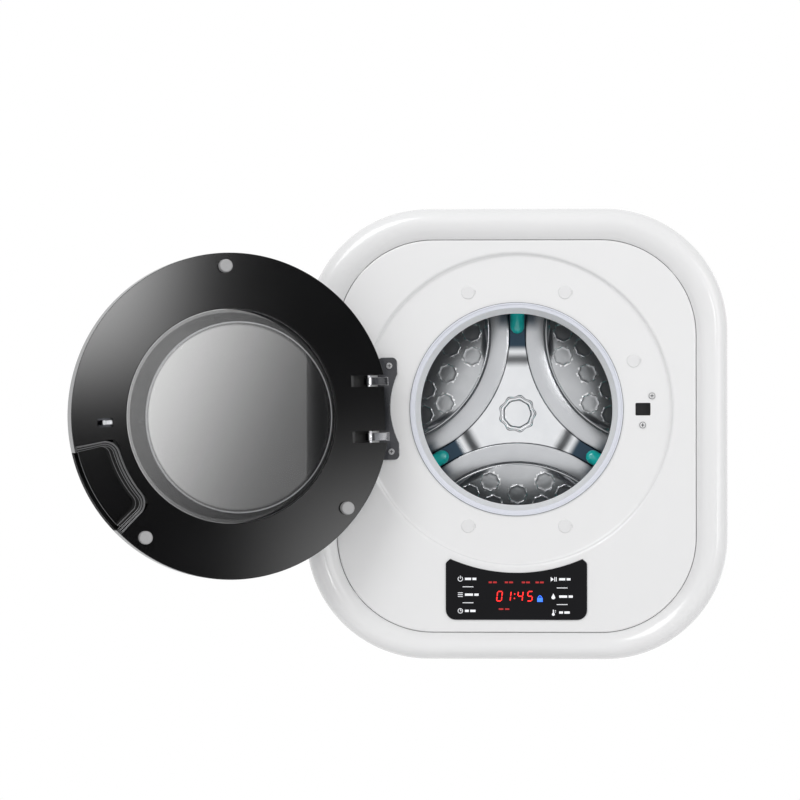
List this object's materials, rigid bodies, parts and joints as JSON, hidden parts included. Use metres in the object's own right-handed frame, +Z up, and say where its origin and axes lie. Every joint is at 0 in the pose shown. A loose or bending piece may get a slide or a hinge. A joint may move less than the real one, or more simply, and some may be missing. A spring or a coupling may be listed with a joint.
{
  "type": "wall-mounted washing machine",
  "caption": "Wall-mounted front-loading washing machine: rounded white cabinet, steel drum with lifters, hinged round glass door with hook, touch glass, belt drive, pump and valve.",
  "frame": {"origin": "centre of the four wall bolts, in the plane of the wall", "axes": "+Z up, +X right seen from the front, -Y out of the wall towards the user"},
  "size_m": [0.8405, 0.4705, 0.588],
  "materials": {
    "cabinet_enamel": "gloss white",
    "front_white": "gloss white",
    "galvanised_sheet": "plain zinc",
    "wall_rubber": "matte black",
    "black_glass": "polished black",
    "housing_plastic": "fine grain",
    "board_green": "solder mask",
    "hinge_enamel": "dark satin",
    "steel_fittings": "bright zinc",
    "door_hook_metal": "cast zinc",
    "gasket_rubber": "satin grey",
    "tub_plastic": "moulded grey",
    "bearing_steel": "ground",
    "seal_rubber": "matte",
    "motor_enamel": "satin",
    "valve_plastic": "moulded",
    "drum_steel": "polished stainless",
    "cast_aluminium": "cast",
    "lifter_plastic": "gloss",
    "ring_silver": "silver coat",
    "cover_black": "gloss black",
    "clear_glass": "pressed clear",
    "smoked_glass": "smoked",
    "pad_rubber": "grey"
  },
  "bodies": {
    "cabinet": {"shell": "cabinet_enamel", "front_frame": "front_white", "front_panel": "front_white", "rear_panel": "galvanised_sheet", "wall_bushes": "wall_rubber", "screw_caps": "front_white", "control_glass": "black_glass", "control_housing": "housing_plastic", "control_board": "board_green", "hinge_bracket": "hinge_enamel", "hinge_screws": "steel_fittings", "door_lock": "housing_plastic", "lock_screws": "steel_fittings", "gasket": "gasket_rubber", "gasket_clamp": "galvanised_sheet", "tub_front": "tub_plastic", "tub_rear": "tub_plastic", "tub_screws": "steel_fittings", "tub_mounts": "wall_rubber", "bearing_outer_rings": "bearing_steel", "bearing_balls": "bearing_steel", "shaft_seal": "seal_rubber", "heater": "steel_fittings", "drive_belt": "wall_rubber", "motor_housing": "motor_enamel", "motor_bracket": "galvanised_sheet", "pump_housing": "housing_plastic", "sump_hose": "wall_rubber", "inlet_valve": "valve_plastic", "fill_hose": "wall_rubber", "cord_gland": "valve_plastic"},
    "drum": {"drum_shell": "drum_steel", "drum_back": "drum_steel", "drum_spider": "cast_aluminium", "drum_shaft": "bearing_steel", "bearing_inner_rings": "bearing_steel", "drum_pulley": "cast_aluminium", "pulley_bolt": "steel_fittings", "lifter_1": "lifter_plastic", "lifter_2": "lifter_plastic", "lifter_3": "lifter_plastic"},
    "motor_rotor": {"motor_shaft": "bearing_steel", "motor_pulley": "cast_aluminium"},
    "pump_rotor": {"pump_impeller": "valve_plastic"},
    "door": {"door_ring": "ring_silver", "door_cover": "cover_black", "door_grip": "cover_black", "door_bowl": "clear_glass", "door_window": "smoked_glass", "window_carrier": "cover_black", "hinge_block": "cast_aluminium", "hinge_pins": "steel_fittings", "door_pads": "pad_rubber", "hook_bracket": "steel_fittings", "hook_pin": "steel_fittings"},
    "hook": {"door_hook": "door_hook_metal"}
  },
  "joints": [
    {"name": "door_hinge", "type": "hinge", "parent": "cabinet", "child": "door", "pos_m": [-0.19, -0.304, 0.032], "axis": [-0.0262, 0, 0.9997], "range_deg": [0, 161]},
    {"name": "hook_pivot", "type": "hinge", "parent": "door", "child": "hook", "pos_m": [-0.51825, -0.43724, 0.01413], "axis": [-0.0509, -0.0085, 0.9987], "range_deg": [0, 8], "stiffness_Nm_per_rad": 0.05, "springref_deg": -11.46},
    {"name": "drum_spin", "type": "hinge", "parent": "cabinet", "child": "drum", "pos_m": [0, -0.018, 0.027], "axis": [0, -1, 0], "continuous": true},
    {"name": "motor_spin", "type": "hinge", "parent": "cabinet", "child": "motor_rotor", "pos_m": [-0.11, -0.018, -0.232], "axis": [0, -1, 0], "continuous": true},
    {"name": "pump_spin", "type": "hinge", "parent": "cabinet", "child": "pump_rotor", "pos_m": [0.1, -0.115, -0.24], "axis": [0, -1, 0], "continuous": true}
  ],
  "couplings": [
    {"joint": "motor_spin", "follows": "drum_spin", "ratio": 10.909}
  ]
}
